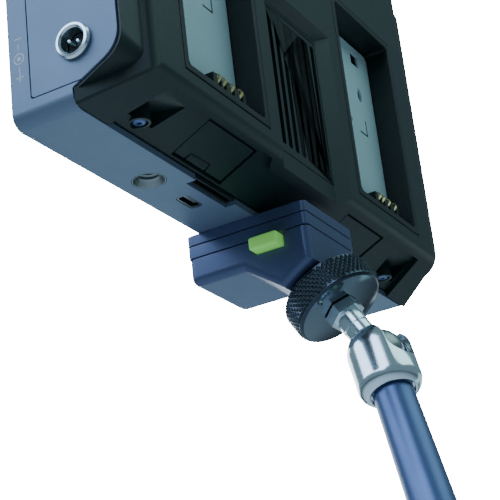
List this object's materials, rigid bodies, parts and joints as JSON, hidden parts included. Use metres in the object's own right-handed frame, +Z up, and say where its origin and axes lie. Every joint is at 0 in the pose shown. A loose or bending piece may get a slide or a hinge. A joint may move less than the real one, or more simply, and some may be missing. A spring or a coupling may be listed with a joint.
{
  "type": "wireless receiver monitor",
  "caption": "Camera-top wireless receiver screen in a flat housing with rear battery bays, on a quick-release mount with a knurled lock wheel, ball joint and arm.",
  "frame": {"origin": "centre of the flat face at the free end of the arm", "axes": "+Z up, from the arm's end towards the top of the screen; +Y towards the battery side, away from the screen; +X towards the side with the power socket"},
  "size_m": [0.1859, 0.067, 0.2171],
  "materials": {
    "aluminium": "bead blasted, anodised blue-grey",
    "shell_plastic": "fine moulded grain",
    "dark_plastic": "moulded",
    "plate_plastic": "satin teal-grey",
    "gold": "gold plated",
    "chrome": "polished",
    "steel": "machined",
    "mount_metal": "blasted, anodised grey-blue",
    "wheel_metal": "knurled, blackened",
    "dark_metal": "blackened, glossy",
    "black_aluminium": "anodised black",
    "green_plastic": "gloss",
    "display_glass": "polished",
    "circuit_board": "solder mask",
    "rubber": "matte"
  },
  "bodies": {
    "arm": {"arm_tube": "black_aluminium", "arm_end_cap": "black_aluminium", "ball_cup": "chrome", "push_rod": "steel"},
    "ball": {"ball": "steel"},
    "stud": {"ball_stud": "chrome"},
    "head": {"qr_body": "mount_metal", "qr_cover": "mount_metal", "button_spring": "steel"},
    "receiver": {"antenna_left": "circuit_board", "antenna_right": "circuit_board", "battery_plate_left": "plate_plastic", "battery_plate_right": "plate_plastic", "battery_tray_left": "dark_plastic", "battery_tray_right": "dark_plastic", "card_slot": "dark_plastic", "contact_block_left": "dark_plastic", "contact_block_right": "dark_plastic", "contact_left_1": "gold", "contact_left_2": "gold", "contact_left_3": "gold", "contact_left_4": "gold", "contact_right_1": "gold", "contact_right_2": "gold", "contact_right_3": "gold", "contact_right_4": "gold", "display_glass": "display_glass", "front_chassis": "aluminium", "heat_sink": "black_aluminium", "lcd_panel": "dark_plastic", "main_board": "circuit_board", "power_socket_insulator": "dark_plastic", "power_socket_pin_1": "chrome", "power_socket_pin_2": "chrome", "power_socket_shell": "chrome", "qr_pad": "rubber", "qr_plate": "mount_metal", "qr_plate_screw": "steel", "rear_shell": "shell_plastic", "receiver_module": "steel", "screen_bezel": "dark_plastic", "shell_screw_left": "dark_metal", "shell_screw_right": "dark_metal", "side_panel_controls": "aluminium", "side_panel_power": "aluminium", "tripod_insert_mount": "steel", "tripod_insert_side": "steel", "usb_port": "steel", "vent_grille": "shell_plastic", "video_socket_1": "steel", "video_socket_2": "steel"},
    "lock_wheel": {"lock_wheel": "wheel_metal", "wheel_hub": "steel"},
    "release_button": {"release_button": "green_plastic"},
    "latch_pawl": {"latch_pawl": "steel"},
    "battery_release_left": {"battery_release_left": "shell_plastic"},
    "battery_release_right": {"battery_release_right": "shell_plastic"},
    "power_button": {"power_button": "dark_metal"},
    "menu_joystick": {"menu_joystick": "dark_metal"}
  },
  "joints": [
    {"name": "ball_pan", "type": "hinge", "parent": "arm", "child": "ball", "pos_m": [-0.01044, -0.0145, 0.05518], "axis": [0.18, 0.25, -0.9514], "continuous": true},
    {"name": "stud_tilt", "type": "hinge", "parent": "ball", "child": "stud", "pos_m": [-0.01044, -0.0145, 0.05518], "axis": [-0.8322, -0.4769, -0.2828], "range_deg": [-4, 41.5]},
    {"name": "head_spin", "type": "hinge", "parent": "stud", "child": "head", "pos_m": [-0.01044, -0.02832, 0.07849], "axis": [0, 0.51, -0.8602], "range_deg": [-180, 180]},
    {"name": "plate_slide", "type": "slide", "parent": "head", "child": "receiver", "axis": [0, -1, 0], "range_m": [0, 0.04]},
    {"name": "wheel_turn", "type": "hinge", "parent": "stud", "child": "lock_wheel", "pos_m": [-0.01044, -0.02832, 0.07849], "axis": [0, 0.51, -0.8602], "range_deg": [0, 90]},
    {"name": "button_press", "type": "slide", "parent": "head", "child": "release_button", "axis": [-1, 0, 0], "range_m": [0, 0.0025], "stiffness_N_per_m": 400, "springref_m": -0.0001, "deforming": ["button_spring"]},
    {"name": "pawl_drop", "type": "slide", "parent": "head", "child": "latch_pawl", "axis": [0, 0, -1], "range_m": [0, 0.002], "stiffness_N_per_m": 1.5, "springref_m": -0.004},
    {"name": "power_press", "type": "slide", "parent": "receiver", "child": "power_button", "axis": [1, 0, 0], "range_m": [0, 0.0006], "stiffness_N_per_m": 600, "springref_m": -0.00005},
    {"name": "joystick_tilt", "type": "hinge", "parent": "receiver", "child": "menu_joystick", "pos_m": [-0.09204, -0.03912, 0.17829], "axis": [0, 1, 0], "range_deg": [-7, 7], "stiffness_Nm_per_rad": 0.05},
    {"name": "battery_release_left_tilt", "type": "hinge", "parent": "receiver", "child": "battery_release_left", "pos_m": [0.03456, -0.03782, 0.10199], "axis": [1, 0, 0], "range_deg": [0, 4], "stiffness_Nm_per_rad": 0.1, "springref_deg": -0.11},
    {"name": "battery_release_right_tilt", "type": "hinge", "parent": "receiver", "child": "battery_release_right", "pos_m": [-0.04284, -0.03782, 0.10199], "axis": [1, 0, 0], "range_deg": [0, 4], "stiffness_Nm_per_rad": 0.1, "springref_deg": -0.11}
  ],
  "couplings": [
    {"joint": "pawl_drop", "follows": "button_press", "ratio": 0.8}
  ]
}
